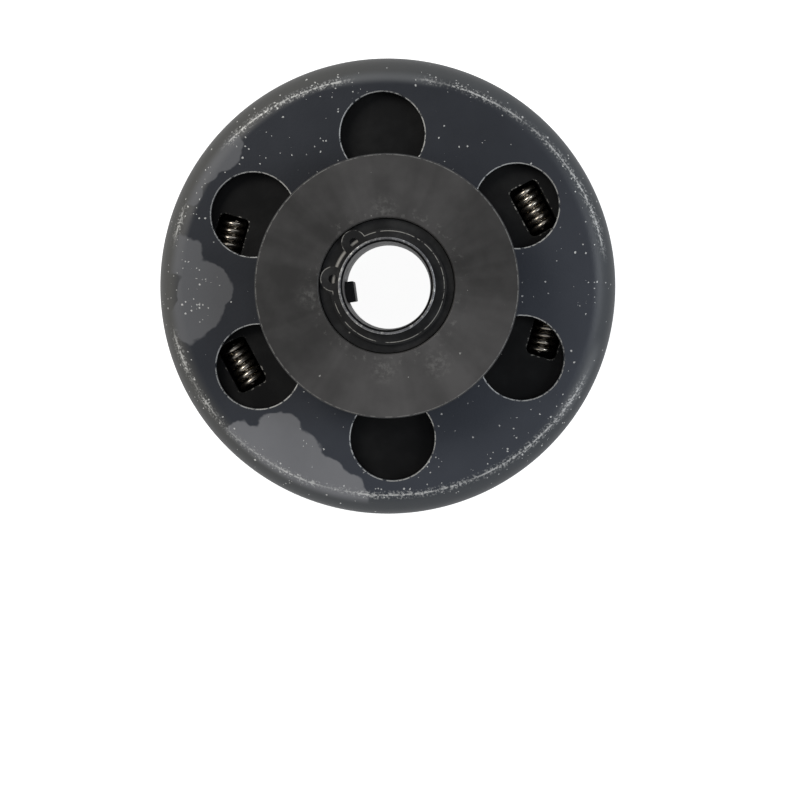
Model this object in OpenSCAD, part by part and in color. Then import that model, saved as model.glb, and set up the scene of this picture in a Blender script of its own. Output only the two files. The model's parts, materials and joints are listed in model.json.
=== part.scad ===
// Centrifugal clutch with a belt pulley.
// A keyed hub sleeve carries a driver, whose two lugs turn a pair of laminated shoes.
// Above idling speed the shoes fly outwards against four windows of springs, grip the drum,
// and the drum turns the V-belt pulley, which runs on a plain bush around the hub's neck.
// The origin is the middle of the hub's lower end and +Z runs along the axis to the pulley.

/* [Overall] */
// Height along the axis, from the lower to the upper end of the hub sleeve
overall_h = 55; // [54:0.5:60]
// Outside diameter of the drum at its open edge
drum_d = 107; // [104:1:112]
// Outside diameter of the belt pulley
pulley_d = 60; // [54:1:64]
// Shaft bore of the hub sleeve
bore_d = 20; // [18:0.5:22]

/* [Hub sleeve] */
// Wall around the bore, below the shoulder
hub_wall = 2.5; // [2.3:0.1:3.2]
// Wall around the bore at the neck, above the shoulder
neck_wall = 1; // [0.9:0.1:1.4]
// Length of the hub below the driver
hub_stub = 4.4; // [3:0.2:5]
// Width of the empty ring groove near the lower end
stub_groove_w = 1; // [0.6:0.1:1.4]
// Depth of that groove
stub_groove_depth = 0.6; // [0.3:0.1:0.9]
// Height of the middle of that groove
stub_groove_z = 1.7; // [1.5:0.1:2.1]
// Chamfers on the ends of the hub
hub_chamfer = 0.5; // [0.2:0.1:0.7]
// Chamfer at the upper mouth of the bore
mouth_chamfer = 0.45; // [0.3:0.05:0.7]
// Chamfer around the upper end of the neck
neck_chamfer = 0.15; // [0.05:0.05:0.15]
// Width of the relief groove in which the keyway ends
relief_w = 2; // [1.5:0.1:3]
// Depth of that relief groove
relief_depth = 0.3; // [0.2:0.05:0.4]
// Diameter of the oil hole through the neck
oil_hole_d = 1.6; // [1:0.1:2]
// Direction of the oil hole
oil_hole_deg = 159; // [0:1:360]
// Distance of the oil hole from the hub's upper end
oil_hole_inset = 20; // [8:0.5:22]

/* [Key] */
// Width of the drive key
key_w = 4.8; // [4:0.1:6]
// How far the key stands into the bore
key_proud = 2.2; // [1.6:0.1:2.6]
// How deep the key sits in the hub's wall
key_sunk = 1.7; // [1.2:0.1:1.8]
// Direction of the key
key_deg = 188; // [0:1:360]
// Distance of the key from the hub's lower end
key_inset = 0.8; // [0.2:0.1:3]

/* [Driver] */
// Diameter of the driver's castellated flange
driver_d = 44.6; // [43:0.2:47]
// How far the driver stands below the drum's open edge
driver_proud = 4.4; // [3:0.2:5]
// Chamfer around the driver's lower face
driver_chamfer = 1.4; // [0.4:0.1:2.4]
// Number of notches in the flange
notch_count = 8; // [6:1:10]
// Width of a notch
notch_w = 6; // [4:0.5:7]
// Share of the driver's wall around the hub that is left under a notch
notch_share = 0.51; // [0.4:0.01:0.7]
// Direction of the first notch
notch_deg = 8.7; // [0:0.1:45]
// Share of the driver's wall around the hub that its core inside the shoes has
core_share = 0.6224; // [0.5:0.01:0.65]
// Width of the two driving lugs
lug_w = 12; // [9:0.5:14]

/* [Shoes] */
// Thickness of one shoe plate
plate_t = 2.5; // [2.2:0.1:2.6]
// Air between two plates
plate_gap = 0.1; // [0.06:0.02:0.14]
// Direction of the line on which the two shoes part
split_deg = 6.2; // [0:0.2:12]
// Travel of each shoe from rest to the drum
shoe_travel = 1.2; // [0.8:0.1:1.3]
// Air left between a shoe and the drum at full travel
engaged_gap = 0.15; // [0.1:0.05:0.3]
// How far past the parting line a shoe's arms reach
arm_deg = 58; // [50:1:60]
// Half of the angle that a filler plate spans
filler_deg = 29; // [27:0.5:29]
// Room between the driving lugs and the filler plates
filler_gap = 4.7; // [3:0.1:9]
// Air between the shoes and the core, flange and lugs of the driver
driver_gap = 0.15; // [0.1:0.05:0.3]
// Diameter of the shoe rivets
rivet_d = 5; // [4:0.2:5.6]
// Diameter of a rivet's head
rivet_head_d = 8; // [7:0.2:9]
// Height of a rivet's head
rivet_head_h = 1.1; // [0.8:0.1:1.4]
// Distance of a rivet's middle from the edge of its shoe
rivet_inset = 6.57; // [5.5:0.01:8]
// Angle from the middle of a shoe to each of its rivets
rivet_deg = 21; // [18:0.5:22]

/* [Springs] */
// Length of a spring window
window_l = 12; // [11:0.5:14]
// Width of a spring window
window_w = 7; // [6.8:0.1:8]
// Corner radius of a spring window
window_corner_r = 1.2; // [0.6:0.1:1.4]
// Steel between a spring window and the edge of its shoe
window_land = 8.07; // [6.5:0.01:9.5]
// Angle from the parting line to each window
window_deg = 22; // [20:0.5:24]
// Outside diameter of a spring
spring_d = 6; // [5.4:0.1:6]
// Wire diameter of a spring
wire_d = 1.25; // [1:0.05:1.4]
// Turns of a spring
spring_turns = 6; // [5:0.5:7]
// Air at each end of a spring
spring_end_gap = 0.25; // [0.2:0.05:0.4]
// Air above the upper springs and below the lower ones, in the depth of the windows
spring_inset = 0.3; // [0.2:0.05:0.4]

/* [Drum] */
// Thickness of the drum's face and corner
drum_wall = 2.8; // [2.2:0.1:3.4]
// Taper of the drum's outside
drum_taper_deg = 1.4; // [0.6:0.1:2]
// Outer radius of the drum's corner
drum_corner_r = 5.8; // [4.5:0.1:7]
// How far the skirt reaches below the shoe pack
skirt_overhang = 4.6; // [4:0.1:5.6]
// Air between the shoe pack and the drum's face
face_gap = 2.4; // [2.2:0.1:3]
// Number of holes in the drum's face
hole_count = 6; // [4:1:6]
// Flat steel between those holes and the drum's rounded corner
hole_land = 2.27; // [1:0.01:4]
// Flat steel between those holes and the pulley's boss
hole_boss_gap = 2.8; // [1.5:0.1:5]
// Direction of the first hole
hole_deg = 31.9; // [0:0.1:60]
// Bevel around each hole
hole_bevel = 0.3; // [0.2:0.1:0.8]
// Broken edge at the end of the skirt
skirt_edge = 0.4; // [0.2:0.1:0.8]

/* [Pulley] */
// Diameter of the boss that stands on the drum
boss_d = 45.3; // [42:0.1:48]
// Height of that boss
boss_h = 1.7; // [1.2:0.1:2.2]
// Thickness of the lower flange at its rim
lower_rim_t = 1.6; // [1.2:0.1:2]
// Thickness of the upper flange at its rim
upper_rim_t = 1.2; // [1:0.1:1.6]
// Diameter of the bottom of the belt groove
groove_root_d = 34.7; // [34.2:0.1:38]
// Width of the bottom of the belt groove
groove_root_w = 5.9; // [5.5:0.1:6.4]
// Angle between the sides of the belt groove
groove_deg = 35; // [32:1:38]
// Depth of the recess in the pulley's upper face
recess_depth = 3; // [2.8:0.1:3.6]
// Air around the circlip's lugs in that recess
recess_gap = 0.3; // [0.2:0.1:0.8]
// Diameter of the spigot through the drum's face
spigot_d = 34; // [33:0.2:35]
// How far the staked end of the spigot reaches over the drum
stake_reach = 1.4; // [1:0.1:2]
// Broken edges of the pulley
rim_chamfer = 0.3; // [0.2:0.1:0.5]

/* [Bush, washers and circlip] */
// Wall of the plain bush
bush_wall = 2.9; // [2.4:0.1:3]
// Radial running clearance around the hub's neck
running_gap = 0.04; // [0.02:0.01:0.08]
// Clearance of the pieces that are pressed or slid together
fit_gap = 0.03; // [0.02:0.01:0.05]
// Axial float of the pulley at each end
float_gap = 0.15; // [0.1:0.05:0.2]
// Thickness of the washer on the driver
driver_washer_t = 1.2; // [1:0.1:1.3]
// How far the edge of that washer lies inside the driver's
driver_washer_inset = 0.3; // [0:0.1:2]
// Thickness of the washer under the circlip
circlip_washer_t = 0.8; // [0.6:0.1:0.9]
// Thickness of the circlip
circlip_t = 1.2; // [1:0.1:1.3]
// Depth of the circlip's groove in the neck
circlip_depth = 0.45; // [0.3:0.05:0.5]
// Mean width of the circlip's ring
circlip_ring_w = 2.6; // [2.2:0.1:2.8]
// How far the ring's outside lies off its inside, which makes it widest opposite the gap
circlip_offset = 0.4; // [0:0.1:0.5]
// Radius of the circlip's two lugs
circlip_lug_r = 2.9; // [2.3:0.1:3]
// How far the middle of a lug lies inside the ring's outer edge
circlip_lug_inset = 0.85; // [0.5:0.05:1.2]
// Angle over which a lug runs out into the ring
circlip_flare_deg = 15; // [8:1:20]
// Diameter of the plier holes in those lugs
circlip_hole_d = 2; // [1.6:0.1:2.4]
// Direction of the circlip's gap
circlip_deg = 150; // [0:1:360]
// Angle of the circlip's gap
circlip_gap_deg = 19; // [14:1:22]
// Angle between the two plier holes
circlip_lug_deg = 45.5; // [42:0.5:50]

/* [Hidden] */
$fn = 96;
over = 1;
layer_count = 6;

bore_r = bore_d / 2;
hub_r = bore_r + hub_wall;
neck_r = bore_r + neck_wall;

driver_z = hub_stub;
skirt_z = driver_z + driver_proud;
pack_z = skirt_z + skirt_overhang;
layer_pitch = plate_t + plate_gap;
pack_top_z = pack_z + layer_count * layer_pitch - plate_gap;
flange_top_z = pack_z - driver_gap;
driver_top_z = pack_top_z + driver_gap;
drum_face_z = pack_top_z + face_gap;
drum_top_z = drum_face_z + drum_wall;

driver_r = driver_d / 2;
driver_wall = driver_r - hub_r;
core_r = hub_r + core_share * driver_wall;
notch_floor_r = hub_r + notch_share * driver_wall;
filler_in_r = driver_r + filler_gap;
driver_washer_r = driver_r - driver_washer_inset;
driver_washer_top_z = driver_top_z + driver_washer_t;
spigot_z = driver_washer_top_z + float_gap;
stake_t = drum_face_z - spigot_z;
spigot_r = spigot_d / 2;

boss_top_z = drum_top_z + boss_h;
groove_depth = (pulley_d - groove_root_d) / 2;
groove_side_h = groove_depth * tan(groove_deg / 2);
groove_z = boss_top_z + lower_rim_t;
root_z = groove_z + groove_side_h;
root_top_z = root_z + groove_root_w;
groove_top_z = root_top_z + groove_side_h;
pulley_top_z = groove_top_z + upper_rim_t;
pulley_r = pulley_d / 2;
recess_z = pulley_top_z - recess_depth;

bush_in_r = neck_r + running_gap;
bush_out_r = bush_in_r + bush_wall;
pulley_bore_r = bush_out_r + fit_gap;

circlip_washer_z = recess_z + float_gap;
circlip_z = circlip_washer_z + circlip_washer_t;
circlip_groove_r = neck_r - circlip_depth;
circlip_in_r = circlip_groove_r + fit_gap;
circlip_out_r = circlip_in_r + circlip_ring_w;
circlip_lug_at_r = circlip_out_r - circlip_lug_inset;
circlip_reach_r = circlip_lug_at_r + circlip_lug_r;
circlip_flare_r = circlip_ring_w / 2;
circlip_flare_at_r = circlip_out_r - circlip_offset - circlip_flare_r;
recess_r = circlip_reach_r + recess_gap;

relief_z = driver_top_z - relief_w / 2;
key_top_z = relief_z - fit_gap;
oil_hole_z = overall_h - oil_hole_inset;

drum_r = drum_d / 2;
corner_z = drum_top_z - drum_corner_r;
wall_end_z = corner_z + drum_corner_r * sin(drum_taper_deg);
wall_end_r = drum_r - (wall_end_z - skirt_z) * tan(drum_taper_deg);
corner_r = wall_end_r - drum_corner_r * cos(drum_taper_deg);
drum_in_corner_r = drum_corner_r - drum_wall;
drum_in_r = corner_r + drum_in_corner_r;
hole_out_r = corner_r - hole_land;
hole_in_r = boss_d / 2 + hole_boss_gap;
hole_d = hole_out_r - hole_in_r;
hole_at_r = (hole_out_r + hole_in_r) / 2;

shoe_r = drum_in_r - engaged_gap;
window_at_r = shoe_r - window_land - window_w / 2;
rivet_at_r = shoe_r - rivet_inset;
spring_l = window_l - 2 * spring_end_gap;
spring_upper_z = pack_top_z - spring_inset - spring_d / 2;
spring_lower_z = pack_z + layer_pitch + spring_inset + spring_d / 2;
shoe_a_deg = split_deg;
shoe_b_deg = split_deg + 180;

steel_dark = "#35393e";
steel_black = "#1c1c1d";
steel_bright = "#a9a9aa";

// A point at a radius and a direction
function polar(r, deg) = [r * cos(deg), r * sin(deg)];

// A flat sector that reaches past the radius, for angles under 180 degrees
module sector(r, from_deg, to_deg) {
    reach = 2 * r;
    polygon([[0, 0], polar(reach, from_deg), polar(reach, (from_deg + to_deg) / 2), polar(reach, to_deg)]);
}

// A flat ring with a round outside and inside
module ring(out_r, in_r, h) {
    difference() {
        cylinder(r = out_r, h = h);
        translate([0, 0, -over]) cylinder(r = in_r, h = h + 2 * over);
    }
}

// Half section of the hub sleeve, with its shoulder, grooves and chamfers
module hub_section() {
    difference() {
        polygon([
            [bore_r + hub_chamfer, 0],
            [hub_r - hub_chamfer, 0],
            [hub_r, hub_chamfer],
            [hub_r, driver_top_z],
            [neck_r, driver_top_z],
            [neck_r, overall_h - neck_chamfer],
            [neck_r - neck_chamfer, overall_h],
            [bore_r + mouth_chamfer, overall_h],
            [bore_r, overall_h - mouth_chamfer],
            [bore_r, hub_chamfer]
        ]);
        translate([hub_r - stub_groove_depth, stub_groove_z - stub_groove_w / 2])
            square([hub_wall, stub_groove_w]);
        translate([circlip_groove_r, circlip_z - fit_gap])
            square([neck_wall, circlip_t + 2 * fit_gap]);
        translate([0, relief_z])
            square([bore_r + relief_depth, relief_w]);
    }
}

module hub_sleeve() {
    color(steel_bright)
    difference() {
        rotate_extrude() hub_section();
        rotate([0, 0, key_deg])
            translate([0, -key_w / 2 - fit_gap, -over])
            cube([bore_r + key_sunk + fit_gap, key_w + 2 * fit_gap, over + relief_z + relief_w / 2]);
        rotate([0, 0, oil_hole_deg])
            translate([0, 0, oil_hole_z])
            rotate([0, 90, 0])
            cylinder(d = oil_hole_d, h = neck_r + over, $fn = 24);
    }
}

module drive_key() {
    color(steel_black)
    rotate([0, 0, key_deg])
        translate([bore_r - key_proud, -key_w / 2, key_inset])
        cube([key_proud + key_sunk, key_w, key_top_z - key_inset]);
}

// The driver's core with its two lugs, which stand along the shoes' line of travel
module driver_core() {
    cylinder(r = core_r, h = driver_top_z - driver_z);
    intersection() {
        cylinder(r = driver_r, h = driver_top_z - driver_z);
        rotate([0, 0, split_deg])
            translate([-lug_w / 2, -driver_d, 0])
            cube([lug_w, 2 * driver_d, driver_top_z]);
    }
}

// The driver's flange before its notches are cut, chamfered around its lower face
module driver_blank() {
    cylinder(r1 = driver_r - driver_chamfer, r2 = driver_r, h = driver_chamfer);
    translate([0, 0, driver_chamfer])
        cylinder(r = driver_r, h = flange_top_z - driver_z - driver_chamfer);
}

module driver() {
    color(steel_black)
    difference() {
        translate([0, 0, driver_z]) {
            difference() {
                driver_blank();
                for (i = [0 : notch_count - 1])
                    rotate([0, 0, notch_deg + i * 360 / notch_count])
                        translate([notch_floor_r, -notch_w / 2, -over])
                        cube([driver_r, notch_w, flange_top_z]);
            }
            difference() {
                driver_core();
                translate([0, 0, -over])
                    ring(driver_d, notch_floor_r, over + flange_top_z - driver_z);
            }
        }
        cylinder(r = hub_r + fit_gap, h = overall_h);
    }
}

module driver_washer() {
    color(steel_bright)
    translate([0, 0, driver_top_z])
        ring(driver_washer_r, neck_r + running_gap, driver_washer_t);
}

module circlip_washer() {
    color(steel_black)
    translate([0, 0, circlip_washer_z])
        ring(circlip_reach_r, neck_r + running_gap, circlip_washer_t);
}

module circlip_outline() {
    difference() {
        union() {
            translate(polar(circlip_offset, circlip_deg + 180)) circle(r = circlip_out_r);
            for (side = [-1, 1])
                hull() {
                    translate(polar(circlip_lug_at_r, circlip_deg + side * circlip_lug_deg / 2))
                        circle(r = circlip_lug_r);
                    translate(polar(circlip_flare_at_r, circlip_deg + side * (circlip_lug_deg / 2 + circlip_flare_deg)))
                        circle(r = circlip_flare_r);
                }
        }
        circle(r = circlip_in_r);
        sector(circlip_reach_r, circlip_deg - circlip_gap_deg / 2, circlip_deg + circlip_gap_deg / 2);
        for (side = [-1, 1])
            translate(polar(circlip_lug_at_r, circlip_deg + side * circlip_lug_deg / 2))
            circle(d = circlip_hole_d);
    }
}

module circlip() {
    color(steel_black)
    translate([0, 0, circlip_z])
        linear_extrude(circlip_t) circlip_outline();
}

module bush() {
    color("#8a6b45")
    translate([0, 0, spigot_z])
        ring(bush_out_r, bush_in_r, recess_z - spigot_z);
}

// Half section of the pulley: staked spigot, boss, belt groove and recessed upper face
module pulley_section() {
    polygon([
        [pulley_bore_r, spigot_z],
        [spigot_r + stake_reach - stake_t / 2, spigot_z],
        [spigot_r + stake_reach, spigot_z + stake_t / 2],
        [spigot_r + stake_reach, drum_face_z],
        [spigot_r, drum_face_z],
        [spigot_r, drum_top_z],
        [boss_d / 2, drum_top_z],
        [boss_d / 2, boss_top_z],
        [pulley_r - rim_chamfer, boss_top_z],
        [pulley_r, boss_top_z + rim_chamfer],
        [pulley_r, groove_z],
        [groove_root_d / 2, root_z],
        [groove_root_d / 2, root_top_z],
        [pulley_r, groove_top_z],
        [pulley_r, pulley_top_z - rim_chamfer],
        [pulley_r - rim_chamfer, pulley_top_z],
        [recess_r + rim_chamfer, pulley_top_z],
        [recess_r, pulley_top_z - rim_chamfer],
        [recess_r, recess_z],
        [pulley_bore_r, recess_z]
    ]);
}

module pulley() {
    color(steel_dark)
    rotate_extrude() pulley_section();
}

// Half section of the drum's outside, from the tapered skirt over the rounded corner
module drum_outside() {
    polygon([
        [0, skirt_z],
        [drum_r - skirt_edge, skirt_z],
        [drum_r - skirt_edge * tan(drum_taper_deg), skirt_z + skirt_edge],
        [wall_end_r, wall_end_z],
        [corner_r, corner_z],
        [corner_r, drum_top_z],
        [0, drum_top_z]
    ]);
    translate([corner_r, corner_z]) circle(r = drum_corner_r);
}

// Half section of the hollow that the shoes grip
module drum_inside() {
    translate([0, skirt_z - over])
        square([drum_in_r, over + corner_z - skirt_z]);
    square([corner_r, drum_face_z]);
    translate([corner_r, corner_z]) circle(r = drum_in_corner_r);
    polygon([
        [0, skirt_z - over],
        [drum_in_r + skirt_edge + over, skirt_z - over],
        [drum_in_r, skirt_z + skirt_edge],
        [0, skirt_z + skirt_edge]
    ]);
}

module drum() {
    color(steel_dark)
    difference() {
        rotate_extrude()
            difference() {
                drum_outside();
                drum_inside();
            }
        cylinder(r = spigot_r + fit_gap, h = overall_h);
        for (i = [0 : hole_count - 1])
            rotate([0, 0, hole_deg + i * 360 / hole_count])
                translate([hole_at_r, 0, 0]) {
                    cylinder(d = hole_d, h = overall_h);
                    translate([0, 0, drum_top_z - hole_bevel])
                        cylinder(d1 = hole_d, d2 = hole_d + 2 * hole_bevel + 2 * over, h = hole_bevel + over);
                }
    }
}

// One rounded spring window, long in Y, about its own middle
module window() {
    inner_l = window_l - 2 * window_corner_r;
    inner_w = window_w - 2 * window_corner_r;
    square([window_w, inner_l], center = true);
    square([inner_w, window_l], center = true);
    for (x = [-1, 1], y = [-1, 1])
        translate([x * inner_w / 2, y * inner_l / 2]) circle(r = window_corner_r, $fn = 32);
}

module windows() {
    for (deg = [window_deg, -window_deg, 180 - window_deg, 180 + window_deg])
        rotate([0, 0, deg])
            translate([window_at_r, 0])
            window();
}

module rivet_holes() {
    for (side = [-1, 1])
        translate(polar(rivet_at_r, 90 + side * rivet_deg))
        circle(d = rivet_d + 2 * fit_gap, $fn = 48);
}

// The outline that grips the drum once the shoe has moved by its travel in +Y
module shoe_outline() {
    intersection() {
        translate([0, -shoe_travel]) circle(r = shoe_r, $fn = 180);
        translate([0, shoe_travel]) circle(r = shoe_r, $fn = 180);
    }
}

// The long hole around the driver's core and the notch that its lug drives
module driver_opening() {
    opening_r = core_r + driver_gap;
    notch_half_w = lug_w / 2 + driver_gap;
    circle(r = opening_r);
    translate([0, -shoe_travel]) circle(r = opening_r);
    translate([-opening_r, -shoe_travel]) square([2 * opening_r, shoe_travel]);
    translate([-notch_half_w, 0]) square([2 * notch_half_w, driver_r + driver_gap]);
}

// A C-shaped shoe plate in its own frame, which moves outwards in +Y
module plate(windowed = true) {
    linear_extrude(plate_t)
        difference() {
            shoe_outline();
            driver_opening();
            sector(drum_d, 180 + arm_deg, 360 - arm_deg);
            if (windowed) windows();
            rivet_holes();
        }
}

// A crescent that fills the crown of a shoe between two of its plates
module filler() {
    linear_extrude(plate_t)
        difference() {
            intersection() {
                shoe_outline();
                sector(drum_d, 90 - filler_deg, 90 + filler_deg);
            }
            circle(r = filler_in_r);
            rivet_holes();
        }
}

module rivet_head() {
    dome_r = (pow(rivet_head_d / 2, 2) + pow(rivet_head_h, 2)) / (2 * rivet_head_h);
    rotate_extrude($fn = 48)
        intersection() {
            translate([0, rivet_head_h - dome_r]) circle(r = dome_r);
            square([rivet_head_d / 2, rivet_head_h]);
        }
}

module rivets() {
    for (side = [-1, 1])
        translate(polar(rivet_at_r, 90 + side * rivet_deg)) {
            translate([0, 0, pack_z])
                cylinder(d = rivet_d, h = pack_top_z - pack_z, $fn = 48);
            translate([0, 0, pack_top_z]) rivet_head();
            translate([0, 0, pack_z]) mirror([0, 0, 1]) rivet_head();
        }
}

// Puts a piece of a shoe in one of the pack's layers, counted from 0 at the open side
module in_layer(layer, shoe_deg) {
    color(steel_black)
    rotate([0, 0, shoe_deg])
        translate([0, 0, pack_z + layer * layer_pitch])
        children();
}

// The two shoes interleave: each one's plates lie in every other layer, its fillers between them.
// The plate at the open side has no windows, so that the springs rest on it.
module shoe_a_plate(n) {
    in_layer(2 * n - 2, shoe_a_deg) plate(windowed = n > 1);
}

module shoe_a_filler(n) {
    in_layer(2 * n - 1, shoe_a_deg) filler();
}

module shoe_b_plate(n) {
    in_layer(2 * n - 1, shoe_b_deg) plate();
}

module shoe_b_filler(n) {
    in_layer(2 * n - 2, shoe_b_deg) filler();
}

module shoe_a_rivets() {
    color(steel_dark) rotate([0, 0, shoe_a_deg]) rivets();
}

module shoe_b_rivets() {
    color(steel_dark) rotate([0, 0, shoe_b_deg]) rivets();
}

// Points and faces of a coil spring along Y, as rings of wire swept along its helix
coil_steps = 14;
wire_sides = 6;
coil_r = (spring_d - wire_d) / 2;

function coil_point(turn) = [
    coil_r * cos(360 * turn),
    (turn / spring_turns - 0.5) * (spring_l - wire_d),
    coil_r * sin(360 * turn)
];

function wire_ring(turn) = [
    for (k = [0 : wire_sides - 1])
        let (a = 360 * k / wire_sides, out = wire_d / 2 * cos(a), along = wire_d / 2 * sin(a))
            coil_point(turn) + [out * cos(360 * turn), along, out * sin(360 * turn)]
];

module coil_spring() {
    rings = ceil(coil_steps * spring_turns);
    last = rings * wire_sides;
    points = [for (i = [0 : rings]) each wire_ring(spring_turns * i / rings)];
    sides = [
        for (i = [0 : rings - 1], k = [0 : wire_sides - 1])
            let (a = i * wire_sides + k, b = i * wire_sides + (k + 1) % wire_sides)
                each [[a, b, a + wire_sides], [b, b + wire_sides, a + wire_sides]]
    ];
    start = [for (k = [wire_sides - 1 : -1 : 0]) k];
    end = [for (k = [0 : wire_sides - 1]) last + k];
    polyhedron(points, concat(sides, [start, end]), convexity = 10);
}

// An upper and a lower spring side by side in one window
module window_springs(deg) {
    color(steel_black)
    rotate([0, 0, split_deg + deg])
        for (z = [spring_lower_z, spring_upper_z])
            translate([window_at_r, 0, z]) coil_spring();
}

module spring_right_back() {
    window_springs(window_deg);
}

module spring_right_front() {
    window_springs(-window_deg);
}

module spring_left_back() {
    window_springs(180 - window_deg);
}

module spring_left_front() {
    window_springs(180 + window_deg);
}

hub_sleeve();
drive_key();
driver();
driver_washer();
circlip_washer();
circlip();
bush();
pulley();
drum();
shoe_a_plate(1);  // shoe_a_plate_1
shoe_a_plate(2);  // shoe_a_plate_2
shoe_a_plate(3);  // shoe_a_plate_3
shoe_a_filler(1);  // shoe_a_filler_1
shoe_a_filler(2);  // shoe_a_filler_2
shoe_a_filler(3);  // shoe_a_filler_3
shoe_a_rivets();
shoe_b_plate(1);  // shoe_b_plate_1
shoe_b_plate(2);  // shoe_b_plate_2
shoe_b_plate(3);  // shoe_b_plate_3
shoe_b_filler(1);  // shoe_b_filler_1
shoe_b_filler(2);  // shoe_b_filler_2
shoe_b_filler(3);  // shoe_b_filler_3
shoe_b_rivets();
spring_right_front();
spring_right_back();
spring_left_front();
spring_left_back();
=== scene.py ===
"""A centrifugal clutch with a V-belt pulley, seen from above on a white table."""

import json
import math

import bpy
from bpy.props import FloatProperty, FloatVectorProperty, IntProperty, PointerProperty
from mathutils import Matrix, Vector

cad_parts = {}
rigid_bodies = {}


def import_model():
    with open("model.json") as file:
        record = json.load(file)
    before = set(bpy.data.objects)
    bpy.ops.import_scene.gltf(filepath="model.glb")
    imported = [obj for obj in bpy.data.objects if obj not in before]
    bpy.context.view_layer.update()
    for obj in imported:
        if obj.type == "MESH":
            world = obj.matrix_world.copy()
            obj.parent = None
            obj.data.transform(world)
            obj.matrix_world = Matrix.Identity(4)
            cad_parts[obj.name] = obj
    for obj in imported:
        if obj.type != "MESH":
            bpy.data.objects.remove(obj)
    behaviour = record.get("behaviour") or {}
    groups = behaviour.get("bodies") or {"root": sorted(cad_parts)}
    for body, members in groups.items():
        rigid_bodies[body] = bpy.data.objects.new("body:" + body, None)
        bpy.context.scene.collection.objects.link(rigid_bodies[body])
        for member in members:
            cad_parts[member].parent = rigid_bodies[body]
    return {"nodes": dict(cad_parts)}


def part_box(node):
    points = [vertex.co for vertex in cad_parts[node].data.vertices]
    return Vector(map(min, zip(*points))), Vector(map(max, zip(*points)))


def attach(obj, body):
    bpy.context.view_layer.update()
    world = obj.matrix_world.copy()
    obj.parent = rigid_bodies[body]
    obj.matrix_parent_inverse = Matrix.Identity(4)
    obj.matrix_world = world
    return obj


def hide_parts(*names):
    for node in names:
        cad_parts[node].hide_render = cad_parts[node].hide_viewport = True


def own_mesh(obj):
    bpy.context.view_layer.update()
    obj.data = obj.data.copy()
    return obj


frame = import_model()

bl_info = {
    "name": "Centrifugal clutch",
    "version": (1, 0, 0),
    "blender": (4, 5, 0),
    "location": "View3D > Sidebar > Clutch",
    "description": "Builds a centrifugal clutch with its belt pulley, shoes and springs",
    "category": "Object",
}

MM = 0.001
SEED = 0.001
TINY = 1e-6

DRUM_LOW, DRUM_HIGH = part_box("drum")
PULLEY_LOW, PULLEY_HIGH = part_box("pulley")
HUB_LOW, HUB_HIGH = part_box("hub_sleeve")
BUSH_LOW, BUSH_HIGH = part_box("bush")
CIRCLIP_LOW, CIRCLIP_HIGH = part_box("circlip")
CLIP_WASHER_LOW, CLIP_WASHER_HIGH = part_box("circlip_washer")
DRIVER_LOW, DRIVER_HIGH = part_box("driver")

# Worn places on the faces, as discs given by direction in degrees, radius and size in millimetres
DRUM_BLOTS = (
    (181, 42.6, 6.4),
    (187.5, 43.2, 5.0),
    (190, 46.8, 5.0),
    (171.5, 48.2, 4.8),
    (140.5, 49.0, 4.6),
    (147, 51.2, 4.2),
    (154, 51.7, 4.0),
    (226, 49.2, 4.2),
    (230.5, 48.2, 4.4),
    (234, 43.0, 5.6),
    (241, 45.6, 6.8),
    (250, 48.2, 6.8),
    (257.5, 50.2, 6.2),
)
PULLEY_SCUFFS = ((303, 21, 2.6), (92, 17.5, 2.2), (268, 19, 2.4), (188, 17.5, 2.0))
# The circlip's ring and lugs as discs in the same way, along whose outline a painted highlight runs
CIRCLIP_OUTLINE = ((335, 0.4, 12.65), (127.25, 12.33, 2.75), (172.75, 12.33, 2.75))

# Sectors as direction, inner and outer half angle: where the corner's painted highlight line fades, and where a
# painted soft sheen lies beside it
CORNER_QUIET = ((149, 7, 14), (180, 9, 17), (-8, 13, 22), (91, 7, 13))
CORNER_SHEEN = ((91, 8, 18), (-27, 5, 14), (245, 4, 16))

SHOE_NODES = [
    f"shoe_{shoe}_{kind}_{count}"
    for shoe in "ab"
    for kind in ("plate", "filler")
    for count in (1, 2, 3)
]


def length(name, description, default):
    """A size that the panel shows, given in millimetres and kept in metres."""
    return FloatProperty(name=name, description=description, default=default * MM, unit="LENGTH", precision=5)


def angle(name, description, default):
    """An angle that the panel shows, given in degrees and kept in radians."""
    return FloatProperty(name=name, description=description, default=math.radians(default), unit="ROTATION")


def colour(name, description, default):
    return FloatVectorProperty(name=name, description=description, default=default, subtype="COLOR", size=3, min=0, max=1)


def share(name, description, default):
    return FloatProperty(name=name, description=description, default=default, min=0, max=1, subtype="FACTOR")


class DrumSizes(bpy.types.PropertyGroup):
    diameter: length("Diameter", "Outside diameter at the open edge", 107)
    wall: length("Wall", "Thickness of the face and the corner", 2.8)
    taper: angle("Taper", "Taper of the outside", 1.4)
    corner: length("Corner", "Outer radius of the corner", 5.8)
    edge: length("Skirt edge", "Broken edge at the end of the skirt", 0.4)
    hole: length("Hole", "Diameter of a hole in the face", 19.5)
    hole_circle: length("Hole circle", "Pitch circle of the holes", 70.4)
    hole_bevel: length("Hole bevel", "Bevel around each hole", 0.3)
    hole_first: angle("First hole", "Direction of the first hole", 31.9)
    hole_count: IntProperty(name="Holes", description="Number of holes in the face", default=6, min=3, max=8)
    spigot: length("Spigot hole", "Diameter of the hole for the pulley's spigot", 34.06)


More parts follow.
